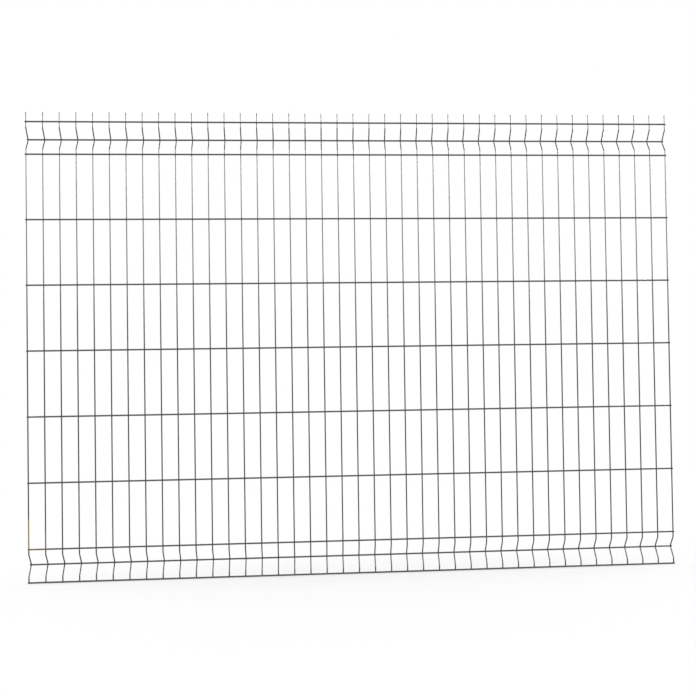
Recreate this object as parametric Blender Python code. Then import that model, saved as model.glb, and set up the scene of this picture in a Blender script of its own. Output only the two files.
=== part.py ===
"""Welded mesh fence panel with two stiffening folds and a barbed top edge.

Straight horizontal wires are welded to the front of bent vertical wires. The
vertical wires fold backwards in a V near the bottom and near the top, with a
horizontal wire seated in the hollow of each V, and stand on above the top wire
as barbs.

Frame: metres. X runs along the panel, +Z is up, and -Y is the front, the side
of the horizontal wires that a fence post bears on. The origin is on the front
face of the bottom wire, level with its axis, in front of the first vertical
wire.
"""
import math

import bpy

# Mesh, measured between wire axes
BAY_COUNT = 40
BAY_WIDTH = 0.050
FIELD_ROW_COUNT = 6
FIELD_ROW_HEIGHT = 0.200
FOLD_ROW_HEIGHT = 0.050

# Wires, coated
HORIZONTAL_DIAMETER = 0.0050
VERTICAL_DIAMETER = 0.0040
WELD_GAP = 0.0003

# Folds: how far the crest stands back, and the straight left beside each row
FOLD_DEPTH = 0.025
FOLD_FLAT = 0.017
BEND_RADIUS = 0.009

# Wire ends, measured from the axis of the last wire that they cross
BARB_LENGTH = 0.030
VERTICAL_TAIL = 0.003
HORIZONTAL_TAIL = 0.002

# Facets: a bevel resolution of 2 gives the wires 8 sides
BEVEL_RESOLUTION = 2
SIDES = 8
CREST_CORNER_COUNT = 4
LEG_CORNER_COUNT = 2

# Finish of the powder coat
COAT_COLOUR = (0.012, 0.012, 0.013, 1.0)
COAT_ROUGHNESS = 0.38

PANEL_NAME = "welded_mesh_fence_panel"


def upper_fold_foot():
    """Height of the lowest row of the upper fold. The lower fold starts at 0."""
    return 2 * FOLD_ROW_HEIGHT + FIELD_ROW_COUNT * FIELD_ROW_HEIGHT


def rows():
    """Height and set-back of each horizontal wire, from the bottom to the top."""
    places = []
    for foot in (0.0, upper_fold_foot()):
        places.append((foot, 0.0))
        places.append((foot + FOLD_ROW_HEIGHT, FOLD_DEPTH))
        places.append((foot + 2 * FOLD_ROW_HEIGHT, 0.0))
    for step in range(1, FIELD_ROW_COUNT):
        places.append((2 * FOLD_ROW_HEIGHT + step * FIELD_ROW_HEIGHT, 0.0))
    return sorted(places)


def fold_slope():
    """Angle between a leg of a fold and the vertical, in radians.

    A leg runs from the corner at its foot to the rounded crest, which it
    touches at the bend radius from the crest's centre.
    """
    leg_height = FOLD_ROW_HEIGHT - FOLD_FLAT
    centre_depth = FOLD_DEPTH - BEND_RADIUS
    lean = math.atan2(centre_depth, leg_height)
    return lean + math.asin(BEND_RADIUS / math.hypot(leg_height, centre_depth))


def bend_points(centre_y, centre_z, start, end, corner_count):
    """Corners of the straight steps that wrap a bend in the YZ plane.

    Each step touches the true arc at its middle, and so do the straight
    stretches that lead in and out of the bend.
    """
    half_step = (end - start) / corner_count / 2
    reach = BEND_RADIUS / math.cos(half_step)
    points = []
    for corner in range(corner_count):
        angle = start + (2 * corner + 1) * half_step
        points.append((0.0, centre_y + reach * math.cos(angle), centre_z + reach * math.sin(angle)))
    return points


def fold_points(foot):
    """Bends of a vertical wire in the fold that starts at the row at height foot."""
    slope = fold_slope()
    lead_in = BEND_RADIUS * math.tan(slope / 2)
    lower_bend = foot + FOLD_FLAT - lead_in
    crest = foot + FOLD_ROW_HEIGHT
    upper_bend = foot + 2 * FOLD_ROW_HEIGHT - FOLD_FLAT + lead_in
    points = bend_points(BEND_RADIUS, lower_bend, math.pi, math.pi - slope, LEG_CORNER_COUNT)
    points += bend_points(FOLD_DEPTH - BEND_RADIUS, crest, -slope, slope, CREST_CORNER_COUNT)
    points += bend_points(BEND_RADIUS, upper_bend, math.pi + slope, math.pi, LEG_CORNER_COUNT)
    return points


def wire_curve(name, points, diameter, material):
    """Capped tube through the points, as wide across its flats as the wire."""
    curve = bpy.data.curves.new(name, "CURVE")
    curve.dimensions = "3D"
    curve.twist_mode = "MINIMUM"
    curve.bevel_depth = diameter / 2 / math.cos(math.pi / SIDES)
    curve.bevel_resolution = BEVEL_RESOLUTION
    curve.use_fill_caps = True
    spline = curve.splines.new("POLY")
    spline.points.add(len(points) - 1)
    for point, place in zip(spline.points, points):
        point.co = (*place, 1.0)
        # Half a facet's turn lays the flats, not the edges, to the front and back
        point.tilt = math.pi / SIDES
    curve.materials.append(material)
    return curve


def coat_material(name):
    """Satin black powder coat."""
    material = bpy.data.materials.new(name)
    material.use_nodes = True
    shader = material.node_tree.nodes["Principled BSDF"]
    shader.inputs["Base Color"].default_value = COAT_COLOUR
    shader.inputs["Roughness"].default_value = COAT_ROUGHNESS
    shader.inputs["Metallic"].default_value = 0.0
    return material


def place_wire(name, curve, location, parent, collection):
    """One wire of the panel, as an object of its own."""
    wire = bpy.data.objects.new(name, curve)
    wire.location = location
    wire.parent = parent
    collection.objects.link(wire)


def build_vertical_wires(parent, collection):
    """Bent wires at the sides of the bays, numbered from left to right."""
    top_row = upper_fold_foot() + 2 * FOLD_ROW_HEIGHT
    bottom_end = (0.0, 0.0, -VERTICAL_TAIL)
    barb_tip = (0.0, 0.0, top_row + BARB_LENGTH)
    points = [bottom_end, *fold_points(0.0), *fold_points(upper_fold_foot()), barb_tip]
    material = coat_material("vertical_wire_black_coat")
    curve = wire_curve("vertical_wire", points, VERTICAL_DIAMETER, material)
    depth = HORIZONTAL_DIAMETER + WELD_GAP + VERTICAL_DIAMETER / 2
    for index in range(BAY_COUNT + 1):
        name = f"vertical_wire_{index + 1:02d}"
        place_wire(name, curve, (index * BAY_WIDTH, depth, 0.0), parent, collection)


def build_horizontal_wires(parent, collection):
    """Straight wires across the rows, numbered from the bottom upwards."""
    left_end = (-HORIZONTAL_TAIL, 0.0, 0.0)
    right_end = (BAY_COUNT * BAY_WIDTH + HORIZONTAL_TAIL, 0.0, 0.0)
    material = coat_material("horizontal_wire_black_coat")
    curve = wire_curve("horizontal_wire", [left_end, right_end], HORIZONTAL_DIAMETER, material)
    for index, (height, set_back) in enumerate(rows()):
        name = f"horizontal_wire_{index + 1:02d}"
        place_wire(name, curve, (0.0, set_back + HORIZONTAL_DIAMETER / 2, height), parent, collection)


def main():
    for item in list(bpy.data.objects):
        bpy.data.objects.remove(item, do_unlink=True)
    collection = bpy.data.collections.new(PANEL_NAME)
    bpy.context.scene.collection.children.link(collection)
    datum = bpy.data.objects.new("panel_datum", None)
    collection.objects.link(datum)
    build_vertical_wires(datum, collection)
    build_horizontal_wires(datum, collection)


main()
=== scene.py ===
"""Looks of the welded mesh fence panel: round coated wires, weld collars and a plain studio.

Everything is in metres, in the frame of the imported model: X along the panel, +Z up
and -Y the front.
"""
import math
import random

import bmesh
import bpy
from mathutils import Euler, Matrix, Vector


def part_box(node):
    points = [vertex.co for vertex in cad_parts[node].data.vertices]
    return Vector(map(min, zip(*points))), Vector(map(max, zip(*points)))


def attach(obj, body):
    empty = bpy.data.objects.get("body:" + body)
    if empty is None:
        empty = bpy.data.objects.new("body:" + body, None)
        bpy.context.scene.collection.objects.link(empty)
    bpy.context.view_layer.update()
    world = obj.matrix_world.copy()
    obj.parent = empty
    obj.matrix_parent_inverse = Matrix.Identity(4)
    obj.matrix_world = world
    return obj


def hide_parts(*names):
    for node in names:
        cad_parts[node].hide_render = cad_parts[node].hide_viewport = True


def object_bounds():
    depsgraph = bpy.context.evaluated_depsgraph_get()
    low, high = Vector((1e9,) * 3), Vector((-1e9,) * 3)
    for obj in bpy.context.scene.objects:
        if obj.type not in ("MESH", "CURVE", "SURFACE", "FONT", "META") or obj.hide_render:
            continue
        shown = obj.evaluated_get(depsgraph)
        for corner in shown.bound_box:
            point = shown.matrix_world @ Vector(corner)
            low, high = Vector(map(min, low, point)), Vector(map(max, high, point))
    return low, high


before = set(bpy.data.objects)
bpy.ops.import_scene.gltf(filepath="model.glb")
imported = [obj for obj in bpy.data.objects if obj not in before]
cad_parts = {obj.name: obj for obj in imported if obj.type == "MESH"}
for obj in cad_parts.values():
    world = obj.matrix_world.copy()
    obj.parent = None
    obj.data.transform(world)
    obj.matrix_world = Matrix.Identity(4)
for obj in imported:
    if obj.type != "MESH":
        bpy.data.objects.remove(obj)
CAD_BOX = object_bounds()

# Bends of the vertical wires, as in the solids
FOLD_FLAT = 0.017
BEND_RADIUS = 0.009

# Fineness of the round wires
WIRE_SIDES = 20
CREST_STEPS = 12
FOOT_STEPS = 6
EDGE_ROUNDING = 0.0004
EDGE_STEPS = 3

# Two faces that meet at more than this angle, in degrees, keep a sharp edge
SHARP_ANGLE = 50.0

# Weld collars, where upset steel and the coat over it fill the corner between two wires.
# Their radii scatter by a share, and they sink a little into both wires.
COLLAR_RADIUS = 0.00175
COLLAR_WAIST = 0.00035
COLLAR_SIDES = 20
COLLAR_RINGS = 5
COLLAR_SCATTER = 0.10
COLLAR_SINK = 0.0003
WELD_SEED = 7

# Powder coat. The shades and the roughness range from one end of the patches to the other.
COAT_IOR = 1.6
BLACK_SHADES = ((0.009, 0.009, 0.010), (0.015, 0.015, 0.016))
SHADE_STOPS = (0.3, 0.7)
ROUGHNESS_RANGE = (0.15, 0.23)
PATCH_SCALE = 60.0
PATCH_DETAIL = 3.0
PEEL_SCALE = 900.0
PEEL_DETAIL = 2.0
PEEL_STRENGTH = 0.35
PEEL_DEPTH = 0.00005

# Ochre and olive stain on the wires of the lower left corner. It lies between two heights,
# thins out to the right and ends just past the second upright, where it also reaches less
# high. It is blotchy, with its clear and its full spots at two levels of the patches' noise,
# and it dulls the coat.
STAIN_SHADES = ((0.085, 0.075, 0.004), (0.21, 0.145, 0.008))
STAIN_BOTTOM = 0.097
STAIN_TOP = 0.190
STAIN_WIDTH = 0.057
STAIN_THINNING = 0.110
STAIN_SLANT = 0.9
STAIN_FADE = 0.006
STAIN_BLOTCHES = (0.2, 0.5)
STAIN_ROUGHNESS = 0.45

# Places of the colour sockets on a Mix node, which has an A, a B and a Result for each kind
# of data
MIX_COLOUR_A = 6
MIX_COLOUR_B = 7
MIX_COLOUR_RESULT = 2

# Camera, found from where the photograph shows the wires and the folds. The photograph
# is cropped, so its middle lies beside the axis of the lens.
CAMERA_PLACE = Vector((0.8464, -3.1608, 0.6160))
CAMERA_TURN = Euler([math.radians(angle) for angle in (91.270, 0.876, -4.592)])
LENS_MM = 52.63
SENSOR_MM = 36.0
CAMERA_SHIFT = (-0.0588, 0.0039)

# Studio. The glow lifts the lit floor to white, and leaves the shade under the panel. The
# light bands stand round the panel at the heights that the upper half of an upright
# mirrors to the camera, in two tiers. The two behind the panel brighten the edges of the
# wires and leave their fronts as they are. A band has its middle, width and brightness,
# and a tier has its bottom, its top and its share of the brightness.
WORLD_FILL = 0.05
FLOOR_SIZE = 5.0
FLOOR_ROUGHNESS = 0.9
FLOOR_COLOUR = 0.42
FLOOR_GLOW = 0.46
LIGHT_BANDS = {
    "front": ((1.0, -10.0), 15.0, 2.4),
    "left": ((-8.0, 0.0), 12.0, 4.2),
    "right": ((10.0, 0.0), 12.0, 4.2),
    "back_left": ((-7.5, 9.0), 10.0, 3.6),
    "back_right": ((9.5, 9.0), 10.0, 3.6),
}
LIGHT_TIERS = {
    "lower": (1.8, 3.6, 1.1),
    "upper": (3.6, 6.2, 2.25),
}

VERTICALS = sorted(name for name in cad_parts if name.startswith("vertical_wire_"))
HORIZONTALS = sorted(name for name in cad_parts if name.startswith("horizontal_wire_"))


def middle(node):
    """Centre of a CAD node's box."""
    low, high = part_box(node)
    return (low + high) / 2


def size(node):
    """Extents of a CAD node's box."""
    low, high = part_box(node)
    return high - low


HORIZONTAL_RADIUS = size(HORIZONTALS[0]).z / 2
VERTICAL_RADIUS = size(VERTICALS[0]).x / 2
ROWS = [(middle(name).z, middle(name).y) for name in HORIZONTALS]
COLUMNS = [middle(name).x for name in VERTICALS]
FLAT_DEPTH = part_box(VERTICALS[0])[0].y + VERTICAL_RADIUS
FOLD_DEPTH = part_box(VERTICALS[0])[1].y - VERTICAL_RADIUS - FLAT_DEPTH
FRONT_ROW_DEPTH = min(depth for height, depth in ROWS)
CREST_HEIGHTS = [height for height, depth in ROWS if depth > FRONT_ROW_DEPTH + FOLD_DEPTH / 2]
FOLD_ROW_HEIGHT = CREST_HEIGHTS[0] - ROWS[0][0]


def fold_slope():
    """Angle between a leg of a fold and the vertical, as in the solids."""
    leg_height = FOLD_ROW_HEIGHT - FOLD_FLAT
    centre_depth = FOLD_DEPTH - BEND_RADIUS
    lean = math.atan2(centre_depth, leg_height)
    return lean + math.asin(BEND_RADIUS / math.hypot(leg_height, centre_depth))


def arc(centre_y, centre_z, start, end, facing, steps):
    """Stations (y, z, lean) of a bend: lean is the wire's own angle from the vertical.

    Facing is the angle on the arc at which the wire stands upright.
    """
    stations = []
    for step in range(steps + 1):
        angle = start + (end - start) * step / steps
        y = centre_y + BEND_RADIUS * math.cos(angle)
        z = centre_z + BEND_RADIUS * math.sin(angle)
        stations.append((y, z, facing - angle))
    return stations


def fold_stations(crest):
    """Stations of one fold of a vertical wire, from its lower bend to its upper one."""
    slope = fold_slope()
    reach = FOLD_ROW_HEIGHT - FOLD_FLAT + BEND_RADIUS * math.tan(slope / 2)
    foot_y = FLAT_DEPTH + BEND_RADIUS
    crest_y = FLAT_DEPTH + FOLD_DEPTH - BEND_RADIUS
    lower_foot = arc(foot_y, crest - reach, math.pi, math.pi - slope, math.pi, FOOT_STEPS)
    top_of_crest = arc(crest_y, crest, -slope, slope, 0.0, CREST_STEPS)
    upper_foot = arc(foot_y, crest + reach, math.pi + slope, math.pi, math.pi, FOOT_STEPS)
    return [*lower_foot, *top_of_crest, *upper_foot]


def wire_ring(mesh, centre, across, forward, radius):
    """Ring of vertices round a wire's axis, in the plane of two directions of length 1."""
    ring = []
    for side in range(WIRE_SIDES):
        turn = 2 * math.pi * side / WIRE_SIDES
        place = [origin + radius * (first * math.cos(turn) + second * math.sin(turn))
                 for origin, first, second in zip(centre, across, forward)]
        ring.append(mesh.verts.new(place))
    return ring


def bridge(mesh, lower, upper):
    """Band of quads between two rings of as many vertices."""
    for index in range(len(lower)):
        following = (index + 1) % len(lower)
        mesh.faces.new((lower[index], lower[following], upper[following], upper[index]))


def end_profile(radius):
    """Shrunk radii and set-backs of the rings that round a sheared wire end."""
    profile = []
    for step in range(EDGE_STEPS + 1):
        angle = math.pi / 2 * step / EDGE_STEPS
        shrunk = radius - EDGE_ROUNDING * (1 - math.sin(angle))
        profile.append((shrunk, EDGE_ROUNDING * (1 - math.cos(angle))))
    return profile


def close_wire(mesh, rings):
    """Side bands of a wire and its two flat ends."""
    for lower, upper in zip(rings, rings[1:]):
        bridge(mesh, lower, upper)
    mesh.faces.new(list(reversed(rings[0])))
    mesh.faces.new(rings[-1])


def piece_from(mesh, name, material):
    """Object made of a finished mesh, smooth except at sharp corners, that rides on the panel."""
    bmesh.ops.recalc_face_normals(mesh, faces=mesh.faces)
    data = bpy.data.meshes.new(name)
    mesh.to_mesh(data)
    mesh.free()
    data.shade_smooth()
    data.set_sharp_from_angle(angle=math.radians(SHARP_ANGLE))
    data.materials.append(material)
    piece = bpy.data.objects.new(name, data)
    bpy.context.scene.collection.objects.link(piece)
    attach(piece, "root")
    return piece


def vertical_wire(node, material):
    """Round bent wire in place of a faceted one."""
    low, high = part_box(node)
    x = middle(node).x
    stations = [(FLAT_DEPTH, low.z + back, 0.0, radius) for radius, back in end_profile(VERTICAL_RADIUS)]
    for crest in CREST_HEIGHTS:
        stations += [(y, z, lean, VERTICAL_RADIUS) for y, z, lean in fold_stations(crest)]
    stations += [(FLAT_DEPTH, high.z - back, 0.0, radius)
                 for radius, back in reversed(end_profile(VERTICAL_RADIUS))]
    mesh = bmesh.new()
    rings = []
    for y, z, lean, radius in stations:
        forward = (0.0, math.cos(lean), -math.sin(lean))
        rings.append(wire_ring(mesh, (x, y, z), (1.0, 0.0, 0.0), forward, radius))
    close_wire(mesh, rings)
    piece = piece_from(mesh, node + "_coated", material)
    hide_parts(node)


def horizontal_wire(node, material):
    """Round straight wire in place of a faceted one."""
    low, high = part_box(node)
    centre = middle(node)
    stations = [(low.x + back, radius) for radius, back in end_profile(HORIZONTAL_RADIUS)]
    stations += [(column, HORIZONTAL_RADIUS) for column in COLUMNS[1:-1]]
    stations += [(high.x - back, radius) for radius, back in reversed(end_profile(HORIZONTAL_RADIUS))]
    mesh = bmesh.new()
    rings = []
    for x, radius in stations:
        rings.append(wire_ring(mesh, (x, centre.y, centre.z), (0.0, 1.0, 0.0), (0.0, 0.0, 1.0), radius))
    close_wire(mesh, rings)
    piece = piece_from(mesh, node + "_coated", material)
    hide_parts(node)


def upright_front(offset_x, offset_z, in_fold):
    """Depth of a vertical wire's front surface near a crossing, which bends away in a fold."""
    axis = FLAT_DEPTH
    if in_fold:
        axis += FOLD_DEPTH - BEND_RADIUS + math.sqrt(BEND_RADIUS ** 2 - offset_z ** 2)
    return axis - math.sqrt(VERTICAL_RADIUS ** 2 - offset_x ** 2)


def weld_collar(mesh, x, z, row_depth, in_fold, dice):
    """Waisted collar round the contact of two crossing wires, sunk a little into both."""
    radius = COLLAR_RADIUS * (1 + COLLAR_SCATTER * (2 * dice.random() - 1))
    rings = []
    for level in range(COLLAR_RINGS):
        share = level / (COLLAR_RINGS - 1)
        ring = []
        for side in range(COLLAR_SIDES):
            turn = 2 * math.pi * side / COLLAR_SIDES
            out = radius - COLLAR_WAIST * math.sin(math.pi * share)
            across, rise = radius * math.cos(turn), radius * math.sin(turn)
            front = row_depth + math.sqrt(HORIZONTAL_RADIUS ** 2 - rise ** 2) - COLLAR_SINK
            back = upright_front(across, rise, in_fold) + COLLAR_SINK
            ring.append(mesh.verts.new((x + out * math.cos(turn), front + (back - front) * share,
                                        z + out * math.sin(turn))))
        rings.append(ring)
    close_wire(mesh, rings)


def weld_row(index, material):
    """The collars of one horizontal wire, as one piece."""
    dice = random.Random(WELD_SEED + index)
    height, depth = ROWS[index]
    in_fold = height in CREST_HEIGHTS
    mesh = bmesh.new()
    for x in COLUMNS:
        weld_collar(mesh, x, height, depth, in_fold, dice)
    piece_from(mesh, f"weld_row_{index + 1:02d}", material)


def faded(nodes, links, value, clear, full):
    """0 where a value is at the clear end of a fade, and 1 where it is at the full end."""
    fade = nodes.new("ShaderNodeMapRange")
    fade.inputs["From Min"].default_value = clear
    fade.inputs["From Max"].default_value = full
    links.new(value, fade.inputs["Value"])
    return fade.outputs["Result"]


def product(nodes, links, first, second):
    """Product of two node outputs."""
    times = nodes.new("ShaderNodeMath")
    times.operation = "MULTIPLY"
    links.new(first, times.inputs[0])
    links.new(second, times.inputs[1])
    return times.outputs[0]


def stain_share(nodes, links, place, patches):
    """How much of the coat the stain covers: nearly 1 in its patch, 0 elsewhere."""
    axes = nodes.new("ShaderNodeSeparateXYZ")
    links.new(place.outputs["Object"], axes.inputs["Vector"])
    slanted = nodes.new("ShaderNodeMath")
    slanted.operation = "MULTIPLY_ADD"
    slanted.inputs[1].default_value = STAIN_SLANT
    links.new(axes.outputs["X"], slanted.inputs[0])
    links.new(axes.outputs["Z"], slanted.inputs[2])
    share = faded(nodes, links, patches.outputs["Fac"], *STAIN_BLOTCHES)
    for value, clear, full in (
            (axes.outputs["X"], STAIN_WIDTH + STAIN_FADE, STAIN_WIDTH - STAIN_FADE),
            (axes.outputs["X"], STAIN_THINNING, 0.0),
            (axes.outputs["Z"], STAIN_BOTTOM - STAIN_FADE, STAIN_BOTTOM + STAIN_FADE),
            (slanted.outputs[0], STAIN_TOP + STAIN_FADE, STAIN_TOP - STAIN_FADE)):
        share = product(nodes, links, share, faded(nodes, links, value, clear, full))
    return share


def stained(nodes, links, share, clean, soiled):
    """Mix of a clean and a soiled colour by the stain's share."""
    mix = nodes.new("ShaderNodeMix")
    mix.data_type = "RGBA"
    links.new(share, mix.inputs["Factor"])
    links.new(clean, mix.inputs[MIX_COLOUR_A])
    links.new(soiled, mix.inputs[MIX_COLOUR_B])
    return mix.outputs[MIX_COLOUR_RESULT]


def shade_ramp(nodes, links, patches, shades):
    """Colour that changes with the patches from a dark to a light shade."""
    ramp = nodes.new("ShaderNodeValToRGB")
    for element, stop, shade in zip(ramp.color_ramp.elements, SHADE_STOPS, shades):
        element.position = stop
        element.color = (*shade, 1)
    links.new(patches.outputs["Fac"], ramp.inputs["Fac"])
    return ramp.outputs["Color"]


def noise(nodes, links, place, scale, detail):
    """Noise that is fixed to the panel's frame, and runs on from piece to piece."""
    texture = nodes.new("ShaderNodeTexNoise")
    texture.inputs["Scale"].default_value = scale
    texture.inputs["Detail"].default_value = detail
    links.new(place.outputs["Object"], texture.inputs["Vector"])
    return texture


def coat_roughness(nodes, links, patches, share):
    """Roughness that changes a little with the patches, and rises where the stain lies."""
    gloss = nodes.new("ShaderNodeMapRange")
    gloss.inputs["To Min"].default_value, gloss.inputs["To Max"].default_value = ROUGHNESS_RANGE
    links.new(patches.outputs["Fac"], gloss.inputs["Value"])
    dull = nodes.new("ShaderNodeMath")
    dull.operation = "MULTIPLY_ADD"
    dull.inputs[1].default_value = STAIN_ROUGHNESS
    links.new(share, dull.inputs[0])
    links.new(gloss.outputs["Result"], dull.inputs[2])
    return dull.outputs[0]


def orange_peel(nodes, links, place):
    """Normal of the coat's fine unevenness."""
    peel = noise(nodes, links, place, PEEL_SCALE, PEEL_DETAIL)
    bump = nodes.new("ShaderNodeBump")
    bump.inputs["Strength"].default_value = PEEL_STRENGTH
    bump.inputs["Distance"].default_value = PEEL_DEPTH
    links.new(peel.outputs["Fac"], bump.inputs["Height"])
    return bump.outputs["Normal"]


def powder_coat(name):
    """Black powder coat on wire: satin, with orange peel, slight changes of gloss and a stain."""
    material = bpy.data.materials.new(name)
    material.use_nodes = True
    nodes, links = material.node_tree.nodes, material.node_tree.links
    shader = nodes["Principled BSDF"]
    shader.inputs["IOR"].default_value = COAT_IOR
    place = nodes.new("ShaderNodeTexCoord")
    patches = noise(nodes, links, place, PATCH_SCALE, PATCH_DETAIL)
    share = stain_share(nodes, links, place, patches)
    black = shade_ramp(nodes, links, patches, BLACK_SHADES)
    ochre = shade_ramp(nodes, links, patches, STAIN_SHADES)
    links.new(stained(nodes, links, share, black, ochre), shader.inputs["Base Color"])
    links.new(coat_roughness(nodes, links, patches, share), shader.inputs["Roughness"])
    links.new(orange_peel(nodes, links, place), shader.inputs["Normal"])
    return material


def seen_directly(nodes, links):
    """1 for rays from the camera, a gloss or a transmission, and 0 for all others."""
    path = nodes.new("ShaderNodeLightPath")
    first = nodes.new("ShaderNodeMath")
    first.operation = "MAXIMUM"
    links.new(path.outputs["Is Camera Ray"], first.inputs[0])
    links.new(path.outputs["Is Glossy Ray"], first.inputs[1])
    both = nodes.new("ShaderNodeMath")
    both.operation = "MAXIMUM"
    links.new(first.outputs[0], both.inputs[0])
    links.new(path.outputs["Is Transmission Ray"], both.inputs[1])
    return both.outputs[0]


def white_world():
    """World that shows as white, and lights the scene a little from all sides."""
    world = bpy.data.worlds.new("studio")
    bpy.context.scene.world = world
    world.use_nodes = True
    nodes, links = world.node_tree.nodes, world.node_tree.links
    background = nodes["Background"]
    background.inputs["Color"].default_value = (1, 1, 1, 1)
    strength = nodes.new("ShaderNodeMapRange")
    strength.inputs["To Min"].default_value = WORLD_FILL
    strength.inputs["To Max"].default_value = 1.0
    links.new(seen_directly(nodes, links), strength.inputs["Value"])
    links.new(strength.outputs["Result"], background.inputs["Strength"])


def pale_floor():
    """Pale floor that the panel stands on. It shows as white where nothing shades it."""
    place = (middle(HORIZONTALS[0]).x, 0, CAD_BOX[0].z)
    bpy.ops.mesh.primitive_plane_add(size=FLOOR_SIZE, location=place)
    floor = bpy.context.object
    floor.name = "floor"
    material = bpy.data.materials.new("pale_floor")
    material.use_nodes = True
    nodes, links = material.node_tree.nodes, material.node_tree.links
    shader = nodes["Principled BSDF"]
    shader.inputs["Base Color"].default_value = (FLOOR_COLOUR, FLOOR_COLOUR, FLOOR_COLOUR, 1)
    shader.inputs["Roughness"].default_value = FLOOR_ROUGHNESS
    shader.inputs["Specular IOR Level"].default_value = 0.0
    shader.inputs["Emission Color"].default_value = (1, 1, 1, 1)
    strength = nodes.new("ShaderNodeMath")
    strength.operation = "MULTIPLY"
    strength.inputs[0].default_value = FLOOR_GLOW
    links.new(seen_directly(nodes, links), strength.inputs[1])
    links.new(strength.outputs[0], shader.inputs["Emission Strength"])
    floor.data.materials.append(material)


def light_band(name, place, width, bottom, top, brightness):
    """Long soft box that stands upright and faces the middle of the panel.

    A light of a brightness of 1 has a power of pi times its area.
    """
    data = bpy.data.lights.new(name, "AREA")
    data.shape = "RECTANGLE"
    data.size = width
    data.size_y = top - bottom
    data.energy = brightness * math.pi * data.size * data.size_y
    light = bpy.data.objects.new(name, data)
    light.location = (*place, (bottom + top) / 2)
    inward = (CAD_BOX[0] + CAD_BOX[1]) / 2 - light.location
    inward.z = 0
    light.rotation_euler = inward.to_track_quat("-Z", "Y").to_euler()
    light.visible_camera = False
    bpy.context.scene.collection.objects.link(light)


def add_camera():
    """Camera of the photograph."""
    data = bpy.data.cameras.new("camera")
    data.sensor_width = SENSOR_MM
    data.lens = LENS_MM
    data.shift_x, data.shift_y = CAMERA_SHIFT
    camera = bpy.data.objects.new("camera", data)
    camera.location = CAMERA_PLACE
    camera.rotation_euler = CAMERA_TURN
    bpy.context.scene.collection.objects.link(camera)
    bpy.context.scene.camera = camera


def add_studio():
    """World, floor and light bands."""
    white_world()
    pale_floor()
    for side, (place, width, brightness) in LIGHT_BANDS.items():
        for tier, (bottom, top, share) in LIGHT_TIERS.items():
            light_band(f"{side}_{tier}_band", place, width, bottom, top, brightness * share)


coat = powder_coat("black_powder_coat")
for wire in VERTICALS:
    vertical_wire(wire, coat)
for wire in HORIZONTALS:
    horizontal_wire(wire, coat)
for row in range(len(ROWS)):
    weld_row(row, coat)
add_camera()
add_studio()
bpy.context.scene.view_settings.view_transform = "Standard"
